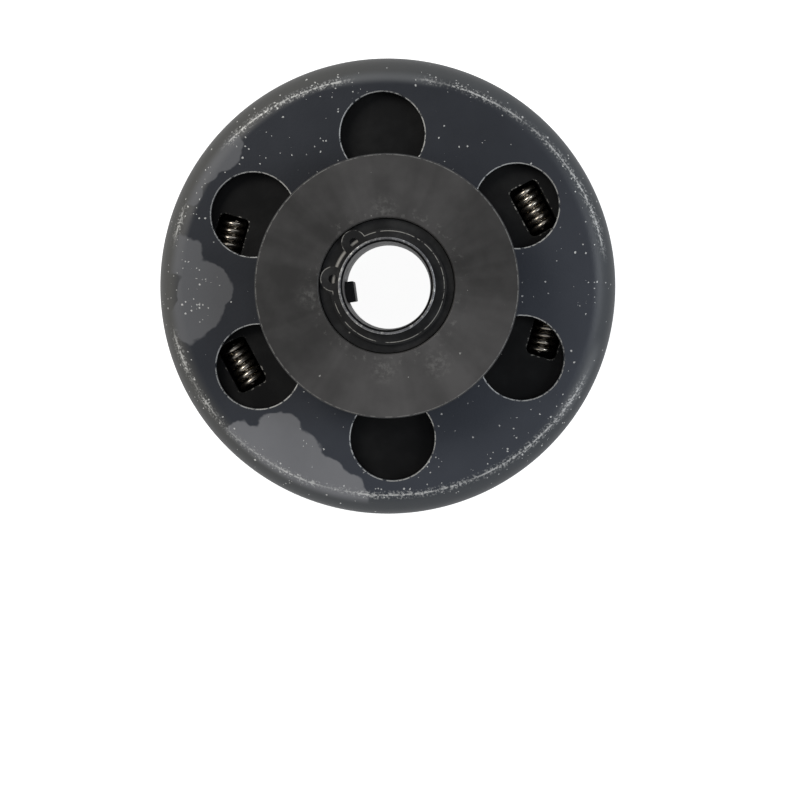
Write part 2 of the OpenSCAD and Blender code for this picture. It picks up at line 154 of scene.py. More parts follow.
class PulleySizes(bpy.types.PropertyGroup):
    boss: length("Boss", "Diameter of the boss on the drum", 45.3)
    boss_height: length("Boss height", "Height of that boss", 1.7)
    spigot: length("Spigot", "Diameter of the spigot through the drum", 34)
    stake_reach: length("Stake", "How far the staked end reaches over the drum's inside", 1.4)
    lower_rim: length("Lower rim", "Thickness of the lower flange at its rim", 1.6)
    upper_rim: length("Upper rim", "Thickness of the upper flange at its rim", 1.2)
    root: length("Groove root", "Diameter of the bottom of the belt groove", 34.7)
    recess_gap: length("Recess gap", "Air around the circlip's washer in the recess", 0.15)
    bore: length("Bore", "Radius of the bore over the bush", 13.97)
    edge: length("Edges", "Broken edges", 0.3)


class HubSizes(bpy.types.PropertyGroup):
    bore: length("Bore", "Radius of the shaft bore", 10)
    neck: length("Neck", "Radius of the neck", 11)
    body: length("Body", "Radius below the shoulder", 12.5)
    mouth: length("Mouth chamfer", "Chamfer at the upper mouth of the bore", 0.5)
    foot: length("Foot chamfer", "Chamfers on the lower end", 0.5)
    neck_edge: length("Neck edge", "Chamfer around the upper end of the neck", 0.15)
    clip_groove: length("Circlip groove", "Radius of the circlip's groove", 10.55)
    stub_groove: length("Stub groove", "Radius of the empty groove below", 11.9)
    stub_groove_height: length("Stub groove height", "Height of that groove's middle", 1.7)
    stub_groove_width: length("Stub groove width", "Width of that groove", 1)
    relief: length("Relief", "Radius of the groove in which the keyway ends", 10.3)
    relief_width: length("Relief width", "Width of that groove", 2)
    key_width: length("Keyway", "Width of the keyway", 4.86)
    key_depth: length("Keyway depth", "Radius of the keyway's floor", 11.73)
    key_direction: angle("Key direction", "Direction of the key", 188)
    oil_hole: length("Oil hole", "Diameter of the oil hole", 1.6)
    oil_hole_inset: length("Oil hole inset", "Distance of the oil hole from the upper end", 20)
    oil_hole_direction: angle("Oil hole direction", "Direction of the oil hole", 159)


class SpringSizes(bpy.types.PropertyGroup):
    diameter: length("Diameter", "Outside diameter of a spring", 6)
    wire: length("Wire", "Diameter of the wire", 1.25)
    length: length("Length", "Length at rest", 11.5)
    turns: IntProperty(name="Turns", description="Turns of a spring", default=6, min=3, max=12)
    circle: length("Window circle", "Pitch circle of the windows", 77)
    parting: angle("Parting line", "Direction of the line on which the shoes part", 6.2)
    spread: angle("Spread", "Angle from the parting line to each window", 22)
    travel: length("Travel", "Travel of each shoe", 1.2)
    window_length: length("Window length", "Length of a spring window", 12)
    window_width: length("Window width", "Width of a spring window", 7)
    window_corner: length("Window corner", "Corner radius of a spring window", 1.2)


class Finishes(bpy.types.PropertyGroup):
    drum_film: colour("Drum film", "Oiled blue-black of the drum", (0.013, 0.015, 0.020))
    drum_film_light: colour("Drum film, lighter", "The film where it catches more light", (0.040, 0.045, 0.057))
    drum_bare: colour("Drum bare", "Dull grey where the film is worn away", (0.165, 0.167, 0.177))
    drum_dull: colour("Drum bare, left", "The same, duller at the left", (0.102, 0.104, 0.111))
    # Painted reflection: the rounded corner lighter than the face, warm at the left and cool at the right
    roll_sheen_warm: colour("Corner, left", "The film on the rounded corner at the left", (0.062, 0.062, 0.060))
    roll_sheen_cool: colour("Corner, right", "The film on the rounded corner at the right", (0.045, 0.049, 0.054))
    drum_wall: colour("Drum wall", "The smooth film on the outside", (0.0075, 0.0105, 0.0165))
    pulley_face: colour("Pulley face", "Turned upper face of the pulley, in shade", (0.017, 0.016, 0.015))
    pulley_sheen: colour("Pulley sheen", "The same face where it shines", (0.066, 0.063, 0.062))
    pulley_flanks: colour("Pulley flanks", "Black of the belt groove and the rims", (0.009, 0.009, 0.010))
    black: colour("Black steel", "Blackened pieces", (0.010, 0.010, 0.010))
    plate: colour("Plate", "Shoe plates", (0.0025, 0.0025, 0.0025))
    spring: colour("Spring", "Spring wire", (0.62, 0.57, 0.49))
    bright: colour("Bright steel", "Turned steel of the hub", (0.30, 0.30, 0.31))
    bronze: colour("Bronze", "Bush", (0.30, 0.18, 0.085))


class StageSettings(bpy.types.PropertyGroup):
    lens: FloatProperty(name="Lens", description="Focal length in millimetres", default=159.4)
    height: FloatProperty(name="Camera height", description="Height of the camera", default=0.855, unit="LENGTH")
    tip: angle("Tip", "Tilt of the camera around X", -1.486)
    lean: angle("Lean", "Tilt of the camera around Y", 0.300)
    key_power: FloatProperty(name="Key light", description="Power of the main softbox in watts", default=4.2)
    fill_power: FloatProperty(name="Fill light", description="Power of the fill softbox in watts", default=2.4)


class ClutchSettings(bpy.types.PropertyGroup):
    drum: PointerProperty(type=DrumSizes)
    pulley: PointerProperty(type=PulleySizes)
    hub: PointerProperty(type=HubSizes)
    spring: PointerProperty(type=SpringSizes)
    finish: PointerProperty(type=Finishes)
    stage: PointerProperty(type=StageSettings)


# Outlines of (radius, height) points


def arc(centre, radius, start_deg, end_deg, steps):
    """Points along an arc, from the first angle to the second."""
    angles = [math.radians(start_deg + (end_deg - start_deg) * i / steps) for i in range(steps + 1)]
    return [(centre[0] + radius * math.cos(a), centre[1] + radius * math.sin(a)) for a in angles]


def eased(points, radius, steps=3, closed=True):
    """The outline with each corner rounded to the radius, or less where a side is short."""
    count = len(points)
    result = []
    for i, corner in enumerate(points):
        if not closed and i in (0, count - 1):
            result.append(corner)
            continue
        here = Vector(corner)
        before = Vector(points[i - 1]) - here
        after = Vector(points[(i + 1) % count]) - here
        half = before.angle(after) / 2
        reach = min(radius / math.tan(half), 0.4 * before.length, 0.4 * after.length)
        if half > math.radians(80):
            result.append(corner)
            continue
        start = here + before.normalized() * reach
        end = here + after.normalized() * reach
        for k in range(steps + 1):
            t = k / steps
            result.append(tuple(start * (1 - t) ** 2 + here * 2 * t * (1 - t) + end * t ** 2))
    return result


# Modelling steps


def begin(name):
    """An empty mesh object in edit mode."""
    bpy.ops.object.select_all(action="DESELECT")
    bpy.ops.mesh.primitive_plane_add(size=SEED)
    piece = bpy.context.object
    piece.name = piece.data.name = name
    bpy.ops.object.mode_set(mode="EDIT")
    bpy.ops.mesh.select_all(action="SELECT")
    bpy.ops.mesh.delete(type="VERT")
    return piece


def turn(outline, steps, centre=(0, 0), closed=True):
    """In edit mode, draws the outline beside an upright axis and spins it a full turn."""
    points = outline + outline[:1] if closed else outline
    bpy.ops.mesh.select_all(action="DESELECT")
    start = (centre[0] + points[0][0], centre[1], points[0][1])
    bpy.ops.mesh.primitive_plane_add(size=SEED, location=start)
    bpy.ops.mesh.merge(type="CENTER")
    for here, there in zip(points, points[1:]):
        move = (there[0] - here[0], 0, there[1] - here[1])
        bpy.ops.mesh.extrude_region_move(TRANSFORM_OT_translate={"value": move})
    bpy.ops.mesh.select_linked()
    bpy.ops.mesh.spin(steps=steps, angle=math.tau, center=(*centre, 0), axis=(0, 0, 1))
    bpy.ops.mesh.select_all(action="SELECT")
    bpy.ops.mesh.remove_doubles(threshold=TINY)


def fill_level(piece, height):
    """In edit mode, fills the flat face between the open rims that lie at one height."""
    bpy.ops.object.mode_set(mode="OBJECT")
    for face in piece.data.polygons:
        face.select = False
    for vertex in piece.data.vertices:
        vertex.select = abs(vertex.co.z - height) < TINY
    for edge in piece.data.edges:
        edge.select = all(piece.data.vertices[v].select for v in edge.vertices)
    bpy.ops.object.mode_set(mode="EDIT")
    bpy.ops.mesh.fill(use_beauty=True)


def apply_modifier(piece, kind, **settings):
    modifier = piece.modifiers.new(kind.title(), kind)
    for key, value in settings.items():
        setattr(modifier, key, value)
    bpy.context.view_layer.objects.active = piece
    bpy.ops.object.modifier_apply(modifier=modifier.name)


def close_piece(piece, smooth_deg=35):
    """Leaves edit mode with doubles merged, faces outwards and curved faces shaded smooth."""
    if piece.mode != "EDIT":
        bpy.ops.object.select_all(action="DESELECT")
        piece.select_set(True)
        bpy.context.view_layer.objects.active = piece
        bpy.ops.object.mode_set(mode="EDIT")
    bpy.ops.mesh.select_all(action="SELECT")
    bpy.ops.mesh.remove_doubles(threshold=TINY)
    bpy.ops.mesh.normals_make_consistent(inside=False)
    bpy.ops.object.mode_set(mode="OBJECT")
    bpy.ops.object.select_all(action="DESELECT")
    piece.select_set(True)
    bpy.ops.object.transform_apply(location=True, rotation=True, scale=True)
    bpy.ops.object.shade_smooth_by_angle(angle=math.radians(smooth_deg))
    apply_modifier(piece, "WEIGHTED_NORMAL", keep_sharp=True)


def cut(piece, cutter):
    """Takes the cutter's shape out of the piece and removes the cutter."""
    apply_modifier(piece, "BOOLEAN", operation="DIFFERENCE", object=cutter, solver="EXACT")
    bpy.data.objects.remove(cutter)


def block(low, high):
    """A box between two corners, as a cutter."""
    bpy.ops.object.select_all(action="DESELECT")
    middle = (Vector(low) + Vector(high)) / 2
    bpy.ops.mesh.primitive_cube_add(size=1, location=middle)
    box = bpy.context.object
    box.scale = Vector(high) - Vector(low)
    bpy.ops.object.transform_apply(location=True, rotation=True, scale=True)
    return box


def eased_copy(node, edge, crease_deg=40):
    """The node's own shape as a new piece, with its sharp edges broken."""
    source = frame["nodes"][node]
    piece = bpy.data.objects.new(node + "_eased", source.data.copy())
    piece.data.materials.clear()
    bpy.context.scene.collection.objects.link(piece)
    bpy.ops.object.select_all(action="DESELECT")
    piece.select_set(True)
    bpy.context.view_layer.objects.active = piece
    bpy.ops.object.mode_set(mode="EDIT")
    bpy.ops.mesh.select_all(action="SELECT")
    bpy.ops.mesh.remove_doubles(threshold=TINY)
    bpy.ops.mesh.dissolve_limited(angle_limit=math.radians(1))
    bpy.ops.object.mode_set(mode="OBJECT")
    apply_modifier(
        piece, "BEVEL", width=edge, segments=2, limit_method="ANGLE", angle_limit=math.radians(crease_deg)
    )
    close_piece(piece)
    return piece


def seat(piece, body, nodes, material):
    """Puts the piece on its body in place of its nodes, with its finish."""
    piece.data.materials.append(material)
    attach(piece, body)
    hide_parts(*nodes)


# Shader helpers and the groups that several finishes share


def put(tree, kind, inputs=None, **settings):
    """Adds a shader node, with its settings and its inputs as values or links."""
    node = tree.nodes.new("ShaderNode" + kind)
    for key, value in settings.items():
        setattr(node, key, value)
    for key, value in (inputs or {}).items():
        if isinstance(value, bpy.types.NodeSocket):
            tree.links.new(value, node.inputs[key])
        else:
            node.inputs[key].default_value = value
    return node


def math_of(tree, operation, *values):
    return put(tree, "Math", dict(enumerate(values)), operation=operation).outputs[0]


def smooth_step(tree, value, low, high, start=0.0, end=1.0):
    """A soft step of a value between two limits."""
    inputs = {"Value": value, "From Min": low, "From Max": high, "To Min": start, "To Max": end}
    return put(tree, "MapRange", inputs, interpolation_type="SMOOTHSTEP").outputs["Result"]


def noise(tree, place, scale, detail=3.0, roughness=0.5):
    inputs = {"Vector": place, "Scale": scale, "Detail": detail, "Roughness": roughness}
    return put(tree, "TexNoise", inputs).outputs["Fac"]


def mix_colour(tree, factor, first, second):
    inputs = {"Factor": factor, "A": first, "B": second}
    node = tree.nodes.new("ShaderNodeMix")
    node.data_type = "RGBA"
    for key, value in inputs.items():
        socket = next(s for s in node.inputs if s.name == key and s.type == ("VALUE" if key == "Factor" else "RGBA"))
        if isinstance(value, bpy.types.NodeSocket):
            tree.links.new(value, socket)
        else:
            socket.default_value = value
    return next(s for s in node.outputs if s.type == "RGBA")


def opaque(rgb):
    return (*rgb, 1.0)


def new_group(name, inputs, outputs):
    """A shader group with named inputs and outputs, as (group, its input node, its output node)."""
    group = bpy.data.node_groups.new(name, "ShaderNodeTree")
    for label, kind, default in inputs:
        socket = group.interface.new_socket(name=label, in_out="INPUT", socket_type="NodeSocket" + kind)
        if default is not None:
            socket.default_value = default
    for label, kind in outputs:
        group.interface.new_socket(name=label, in_out="OUTPUT", socket_type="NodeSocket" + kind)
    return group, group.nodes.new("NodeGroupInput"), group.nodes.new("NodeGroupOutput")


def use_group(tree, group, inputs):
    node = tree.nodes.new("ShaderNodeGroup")
    node.node_tree = group
    for key, value in inputs.items():
        if isinstance(value, bpy.types.NodeSocket):
            tree.links.new(value, node.inputs[key])
        else:
            node.inputs[key].default_value = value
    return node


def polar_group():
    """Distance from the clutch's axis and the direction around it."""
    group, given, made = new_group("Around the axis", [("Place", "Vector", None)], [("Radius", "Float"), ("Turn", "Float")])
    parts = put(group, "SeparateXYZ", {0: given.outputs["Place"]})
    flat = put(group, "CombineXYZ", {"X": parts.outputs["X"], "Y": parts.outputs["Y"]})
    radius = put(group, "VectorMath", {0: flat.outputs[0]}, operation="LENGTH")
    turn_of = math_of(group, "ARCTAN2", parts.outputs["Y"], parts.outputs["X"])
    group.links.new(radius.outputs["Value"], made.inputs["Radius"])
    group.links.new(turn_of, made.inputs["Turn"])
    return group


def specks_group():
    """Small scattered flecks of bare metal and dust."""
    inputs = [("Place", "Vector", None), ("Scale", "Float", 900.0), ("Size", "Float", 0.2), ("Share", "Float", 0.1)]
    group, given, made = new_group("Specks", inputs, [("Mask", "Float")])
    jitter = put(group, "TexNoise", {"Vector": given.outputs["Place"], "Scale": 2200.0, "Detail": 1.0})
    shaken = put(group, "VectorMath", {0: jitter.outputs["Color"], 1: (0.0004,) * 3}, operation="MULTIPLY")
    place = put(group, "VectorMath", {0: given.outputs["Place"], 1: shaken.outputs[0]}, operation="ADD")
    cells = put(group, "TexVoronoi", {"Vector": place.outputs[0], "Scale": given.outputs["Scale"]})
    parts = put(group, "SeparateColor", {0: cells.outputs["Color"]})
    limit = math_of(group, "MULTIPLY", given.outputs["Size"], parts.outputs["Green"])
    inside = math_of(group, "LESS_THAN", cells.outputs["Distance"], limit)
    chosen = math_of(group, "LESS_THAN", parts.outputs["Red"], given.outputs["Share"])
    group.links.new(math_of(group, "MULTIPLY", inside, chosen), made.inputs["Mask"])
    return group


def line_group():
    """A thin line where a distance passes a value, broken up by noise: worn edges, and painted highlights along the
    drum's corner and the circlip.
    """
    inputs = [
        ("Place", "Vector", None),
        ("Distance", "Float", 0.0),
        ("At", "Float", 0.0),
        ("Width", "Float", 0.0002),
        ("Breaks", "Float", 0.5),
        ("Scale", "Float", 600.0),
    ]
    group, given, made = new_group("Worn and highlight line", inputs, [("Mask", "Float")])
    away = math_of(group, "ABSOLUTE", math_of(group, "SUBTRACT", given.outputs["Distance"], given.outputs["At"]))
    near = smooth_step(group, away, given.outputs["Width"], 0.0)
    grain = noise(group, given.outputs["Place"], given.outputs["Scale"], 4.0, 0.7)
    edge = math_of(group, "ADD", given.outputs["Breaks"], 0.12)
    broken = smooth_step(group, grain, given.outputs["Breaks"], edge)
    group.links.new(math_of(group, "MULTIPLY", near, broken), made.inputs["Mask"])
    return group


def new_material(name):
    """A material with an empty tree, as (material, tree, place on the object)."""
    material = bpy.data.materials.new(name)
    material.use_nodes = True
    tree = material.node_tree
    tree.nodes.clear()
    place = put(tree, "TexCoord").outputs["Object"]
    return material, tree, place


def surface(tree, colour_from, roughness, metallic=0.0, height=None, depth=0.00005, **constants):
    """The Principled shader and the output, with a bump where a height is given."""
    inputs = {"Base Color": colour_from, "Roughness": roughness, "Metallic": metallic}
    shader = put(tree, "BsdfPrincipled", inputs)
    for key, value in constants.items():
        shader.inputs[key.replace("_", " ").title().replace("Ior", "IOR")].default_value = value
    if height is not None:
        bump = put(tree, "Bump", {"Height": height, "Distance": depth, "Strength": 1.0})
        tree.links.new(bump.outputs[0], shader.inputs["Normal"])
    output = put(tree, "OutputMaterial")
    tree.links.new(shader.outputs[0], output.inputs["Surface"])
    return shader


def hole_distance(tree, radius, turn_of, sizes):
    """Distance from the middle of the nearest hole, by folding the face into one sector."""
    sector = math.tau / sizes.hole_count
    shifted = math_of(tree, "SUBTRACT", turn_of, sizes.hole_first - sector / 2)
    folded = math_of(tree, "SUBTRACT", math_of(tree, "FLOORED_MODULO", shifted, sector), sector / 2)
    x = math_of(tree, "MULTIPLY", radius, math_of(tree, "COSINE", folded))
    y = math_of(tree, "MULTIPLY", radius, math_of(tree, "SINE", folded))
    offset = math_of(tree, "SUBTRACT", x, sizes.hole_circle / 2)
    flat = put(tree, "CombineXYZ", {"X": offset, "Y": y})
    return put(tree, "VectorMath", {0: flat.outputs[0]}, operation="LENGTH").outputs["Value"]


def flattened(tree, place):
    return put(tree, "VectorMath", {0: place, 1: (1.0, 1.0, 0.0)}, operation="MULTIPLY").outputs[0]


def toward(tree, place, direction_deg, inner_deg, outer_deg):
    """One in the sector around a direction, falling softly to nothing at its outer angle."""
    unit = put(tree, "VectorMath", {0: flattened(tree, place)}, operation="NORMALIZE")
    heading = (math.cos(math.radians(direction_deg)), math.sin(math.radians(direction_deg)), 0.0)
    along = put(tree, "VectorMath", {0: unit.outputs[0], 1: heading}, operation="DOT_PRODUCT")
    limits = (math.cos(math.radians(outer_deg)), math.cos(math.radians(inner_deg)))
    return smooth_step(tree, along.outputs["Value"], *limits)


def toward_any(tree, place, sectors):
    """One in each of the sectors, given by direction, inner and outer half angle."""
    total = 0.0
    for sector in sectors:
        total = math_of(tree, "MAXIMUM", total, toward(tree, place, *sector))
    return total


def blots(tree, place, discs, melt=3 * MM):
    """Distance outside a group of discs on the face, each given by direction, radius and size."""
    flat = flattened(tree, place)
    nearest = None
    for direction_deg, reach, size in discs:
        turned = math.radians(direction_deg)
        centre = (reach * MM * math.cos(turned), reach * MM * math.sin(turned), 0.0)
        gap = put(tree, "VectorMath", {0: flat, 1: centre}, operation="DISTANCE").outputs["Value"]
        gap = math_of(tree, "SUBTRACT", gap, size * MM)
        nearest = gap if nearest is None else math_of(tree, "SMOOTH_MIN", nearest, gap, melt)
    return nearest


def vector_of(tree, operation, *values):
    return put(tree, "VectorMath", dict(enumerate(values)), operation=operation).outputs[0]


def turned_by(tree, vector, angle):
    inputs = {"Vector": vector, "Angle": angle}
    return put(tree, "VectorRotate", inputs, rotation_type="Z_AXIS").outputs[0]


def window_distance(tree, place, sizes):
    """Distance outside the nearest spring window, by folding the four windows onto one."""
    corner = sizes.window_corner
    inner = (sizes.window_width / 2 - corner, sizes.window_length / 2 - corner, 0.0)
    folded = vector_of(tree, "ABSOLUTE", turned_by(tree, flattened(tree, place), -sizes.parting))
    window = turned_by(tree, folded, -sizes.spread)
    side = vector_of(tree, "ABSOLUTE", vector_of(tree, "SUBTRACT", window, (sizes.circle / 2, 0.0, 0.0)))
    past = vector_of(tree, "MAXIMUM", vector_of(tree, "SUBTRACT", side, inner), (0.0, 0.0, 0.0))
    reach = put(tree, "VectorMath", {0: past}, operation="LENGTH").outputs["Value"]
    return math_of(tree, "SUBTRACT", reach, corner)


def drum_finish(sizes, finish, groups):
    """Blue-black oiled steel, dull grey where the film is worn in lobes, with flecks along the corner; painted light:
    a highlight line and soft sheen along the corner's crest, warm and cool reflections on the rounded corner, and the
    face lighter towards the lower right.
    """
    material, tree, place = new_material("Drum oxide")
    around = use_group(tree, groups["polar"], {"Place": place})
    radius, turn_of = around.outputs["Radius"], around.outputs["Turn"]
    height = put(tree, "SeparateXYZ", {0: place}).outputs["Z"]
    lobes = noise(tree, place, 210.0, 2.0, 0.5)
    fringe = noise(tree, place, 800.0, 2.0, 0.5)
    clouds = noise(tree, place, 60.0, 4.0, 0.6)

    blot = blots(tree, place, DRUM_BLOTS, 2 * MM)
    blot = math_of(tree, "ADD", blot, math_of(tree, "MULTIPLY_ADD", lobes, 3.6 * MM, -1.8 * MM))
    blot = math_of(tree, "ADD", blot, math_of(tree, "MULTIPLY_ADD", fringe, 0.6 * MM, -0.3 * MM))
    bare = smooth_step(tree, blot, 0.3 * MM, -0.3 * MM)
    bare = math_of(tree, "MULTIPLY", bare, smooth_step(tree, radius, 51.0 * MM, 49.0 * MM))
    bare = math_of(tree, "MULTIPLY", bare, smooth_step(tree, height, DRUM_HIGH.z - 2.5 * MM, DRUM_HIGH.z - 2 * MM))

    hole_from = hole_distance(tree, radius, turn_of, sizes)
    rim_at = (sizes.hole + sizes.hole_bevel) / 2
    rim = {"Place": place, "Distance": hole_from, "At": rim_at, "Width": 0.2 * MM, "Breaks": 0.38, "Scale": 900.0}
    rim_line = use_group(tree, groups["line"], rim).outputs["Mask"]
    at_top = smooth_step(tree, height, DRUM_HIGH.z - 0.6 * MM, DRUM_HIGH.z - 0.3 * MM)
    rim_line = math_of(tree, "MULTIPLY", rim_line, at_top)

    on_face = smooth_step(tree, height, DRUM_HIGH.z - 4 * MM, DRUM_HIGH.z - 1 * MM, 0.0, 1.0)

    # Painted highlight along the corner's crest: a sharp bright line and a broad faint band of painted sheen, broken
    # into grains; it runs further out at the left and right than at the top and bottom
    swing = math_of(tree, "COSINE", math_of(tree, "MULTIPLY", turn_of, 2.0))
    crest = math_of(tree, "MULTIPLY_ADD", swing, 1.1 * MM, 49.2 * MM)
    crest = math_of(tree, "MULTIPLY_ADD", noise(tree, place, 60.0, 2.0), 0.7 * MM, crest)
    sharp = {"Place": place, "Distance": radius, "At": crest, "Width": 0.3 * MM, "Breaks": 0.42, "Scale": 1300.0}
    broad = {"Place": place, "Distance": radius, "At": crest, "Width": 1.3 * MM, "Breaks": 0.50, "Scale": 1900.0}
    painted_highlight_line = use_group(tree, groups["line"], sharp).outputs["Mask"]
    painted_sheen_band = use_group(tree, groups["line"], broad).outputs["Mask"]
    loud = math_of(tree, "SUBTRACT", 1.0, toward_any(tree, place, CORNER_QUIET))
    stretches = smooth_step(tree, noise(tree, place, 70.0, 2.0, 0.5), 0.36, 0.52, 0.3, 1.0)
    corner = math_of(tree, "MAXIMUM", math_of(tree, "MULTIPLY", painted_highlight_line, 0.8), math_of(tree, "MULTIPLY", painted_sheen_band, 0.7))
    corner = math_of(tree, "MULTIPLY", corner, math_of(tree, "MULTIPLY", loud, stretches))
    corner = math_of(tree, "MULTIPLY", corner, on_face)
    beside = math_of(tree, "ABSOLUTE", math_of(tree, "SUBTRACT", radius, crest))
    # Painted soft sheen beside the corner's crest, in the sheen sectors
    painted_halo = math_of(tree, "MULTIPLY", smooth_step(tree, beside, 1.8 * MM, 0.0), toward_any(tree, place, CORNER_SHEEN))
    painted_halo = math_of(tree, "MULTIPLY", painted_halo, on_face)

    crowds = smooth_step(tree, noise(tree, place, 75.0, 3.0, 0.6), 0.47, 0.60)
    crowds = math_of(tree, "MULTIPLY", crowds, smooth_step(tree, radius, 30 * MM, 46 * MM, 0.5, 1.0))
    crowds = math_of(tree, "MAXIMUM", crowds, math_of(tree, "MULTIPLY", smooth_step(tree, beside, 3.0 * MM, 0.5 * MM), loud))
    crowded = math_of(tree, "MULTIPLY_ADD", math_of(tree, "MULTIPLY", crowds, on_face), 0.24, 0.004)
    dense = use_group(tree, groups["specks"], {"Place": place, "Scale": 1500.0, "Size": 0.36, "Share": crowded})
    sparse = use_group(tree, groups["specks"], {"Place": place, "Scale": 620.0, "Size": 0.15, "Share": 0.055})
    flecks = math_of(tree, "MULTIPLY", sparse.outputs[0], math_of(tree, "MULTIPLY_ADD", on_face, 0.8, 0.05))
    flecks = math_of(tree, "MAXIMUM", flecks, math_of(tree, "MULTIPLY", dense.outputs[0], 0.75))
    marks = math_of(tree, "MAXIMUM", math_of(tree, "MAXIMUM", rim_line, corner), flecks)

    # Painted light: the film lighter towards the lower right, mixed with cloudy tone
    lit = math_of(tree, "MULTIPLY_ADD", toward(tree, place, -50, 0, 120), 0.7, math_of(tree, "MULTIPLY", clouds, 0.45))
    film = mix_colour(tree, lit, opaque(finish.drum_film), opaque(finish.drum_film_light))
    # Painted reflection on the rounded corner: lighter than the face, warm at the left and cool at the right
    roll = mix_colour(tree, toward(tree, place, 155, 30, 115), opaque(finish.roll_sheen_cool), opaque(finish.roll_sheen_warm))
    on_roll = smooth_step(tree, radius, 47.2 * MM, 50.4 * MM)
    on_roll = math_of(tree, "MULTIPLY", on_roll, smooth_step(tree, height, DRUM_HIGH.z - 6 * MM, DRUM_HIGH.z - 3 * MM))
    film = mix_colour(tree, on_roll, film, roll)
    film = mix_colour(tree, smooth_step(tree, height, DRUM_HIGH.z - 4 * MM, DRUM_HIGH.z - 7 * MM), film, opaque(finish.drum_wall))
    # The painted sheen lightens the film towards pale grey
    film = mix_colour(tree, math_of(tree, "MULTIPLY", painted_halo, 0.5), film, (0.16, 0.165, 0.17, 1))
    worn = mix_colour(tree, toward(tree, place, 241, 20, 40), opaque(finish.drum_dull), opaque(finish.drum_bare))
    worn = mix_colour(tree, smooth_step(tree, clouds, 0.3, 0.8, 0.0, 0.35), worn, (0.09, 0.092, 0.10, 1))
    base = mix_colour(tree, bare, film, worn)
    # Worn hole rims, flecks and the corner's painted highlight, all mixed towards bright grey
    base = mix_colour(tree, math_of(tree, "MULTIPLY", marks, 0.9), base, (0.78, 0.78, 0.76, 1))
    rough = math_of(tree, "MULTIPLY_ADD", bare, 0.14, 0.34)
    rough = math_of(tree, "MULTIPLY_ADD", clouds, 0.12, rough)
    grain = noise(tree, place, 1800.0, 2.0, 0.6)
    metal = math_of(tree, "MULTIPLY", marks, 0.4)
    surface(tree, base, rough, metal, grain, 0.00002, specular_ior_level=0.38)
    return material


def pulley_finish(sizes, finish, groups):
    """Black steel, with a turned upper face painted lighter than the flanks, with soft fans of painted sheen, and
    scuffs at the recess.
    """
    material, tree, place = new_material("Pulley black")
    around = use_group(tree, groups["polar"], {"Place": place})
    radius, turn_of = around.outputs["Radius"], around.outputs["Turn"]
    height = put(tree, "SeparateXYZ", {0: place}).outputs["Z"]
    dip = smooth_step(tree, radius, 20 * MM, 19 * MM, 0.02 * MM, 0.5 * MM)
    below = math_of(tree, "SUBTRACT", PULLEY_HIGH.z, height)
    face = smooth_step(tree, math_of(tree, "SUBTRACT", below, dip), 0.1 * MM, 0.0)
    root = smooth_step(tree, radius, sizes.root / 2 + 0.3 * MM, sizes.root / 2 + 0.1 * MM)

    ring_place = put(tree, "CombineXYZ", {"X": math_of(tree, "SINE", turn_of), "Y": math_of(tree, "COSINE", turn_of)})
    fans = noise(tree, ring_place.outputs[0], 2.6, 3.0, 0.6)
    clouds = noise(tree, place, 130.0, 4.0, 0.6)
    rings = noise(tree, put(tree, "CombineXYZ", {"X": radius, "Y": height}).outputs[0], 2600.0, 2.0, 0.5)
    # Painted sheen on the turned face: lobes towards the bottom and the top, soft fans and clouds
    shine = math_of(tree, "MULTIPLY_ADD", toward(tree, place, 288, 0, 85), 0.65, -0.1)
    shine = math_of(tree, "MULTIPLY_ADD", toward(tree, place, 88, 0, 52), 0.35, shine)
    shine = math_of(tree, "MULTIPLY_ADD", smooth_step(tree, fans, 0.35, 0.65), 0.28, shine)
    shine = math_of(tree, "MULTIPLY_ADD", smooth_step(tree, clouds, 0.35, 0.7), 0.22, shine)

    rim = {"Place": place, "Distance": radius, "At": 29.8 * MM, "Width": 0.3 * MM, "Breaks": 0.42, "Scale": 700.0}
    rim_line = use_group(tree, groups["line"], rim).outputs["Mask"]
    worn = {"Place": place, "Distance": radius, "At": 17 * MM, "Width": 2.2 * MM, "Breaks": 0.55, "Scale": 700.0}
    worn_ring = use_group(tree, groups["line"], worn).outputs["Mask"]
    scuffed = smooth_step(tree, blots(tree, place, PULLEY_SCUFFS), 2 * MM, -2 * MM)
    scratches = smooth_step(tree, noise(tree, place, 800.0, 4.0, 0.7), 0.42, 0.66)
    scratches = math_of(tree, "MULTIPLY", scratches, scuffed)
    specks = use_group(tree, groups["specks"], {"Place": place, "Scale": 600.0, "Size": 0.14, "Share": 0.1})
    marks = math_of(tree, "MAXIMUM", math_of(tree, "MULTIPLY", rim_line, 0.3), math_of(tree, "MULTIPLY", worn_ring, 0.08))
    marks = math_of(tree, "MAXIMUM", marks, math_of(tree, "MULTIPLY", scratches, 0.10))
    marks = math_of(tree, "MAXIMUM", marks, math_of(tree, "MULTIPLY", specks.outputs[0], 0.4))

    turned = mix_colour(tree, shine, opaque(finish.pulley_face), opaque(finish.pulley_sheen))
    flanks = mix_colour(tree, root, opaque(finish.pulley_flanks), (0.035, 0.036, 0.037, 1))
    # The top face is painted lighter than the flanks, as painted sheen
    base = mix_colour(tree, face, flanks, turned)
    base = mix_colour(tree, math_of(tree, "MULTIPLY", marks, face), base, (0.55, 0.54, 0.51, 1))
    rough = math_of(tree, "MULTIPLY_ADD", clouds, 0.15, 0.34)
    surface(tree, base, rough, 0.0, rings, 0.000008)
    return material


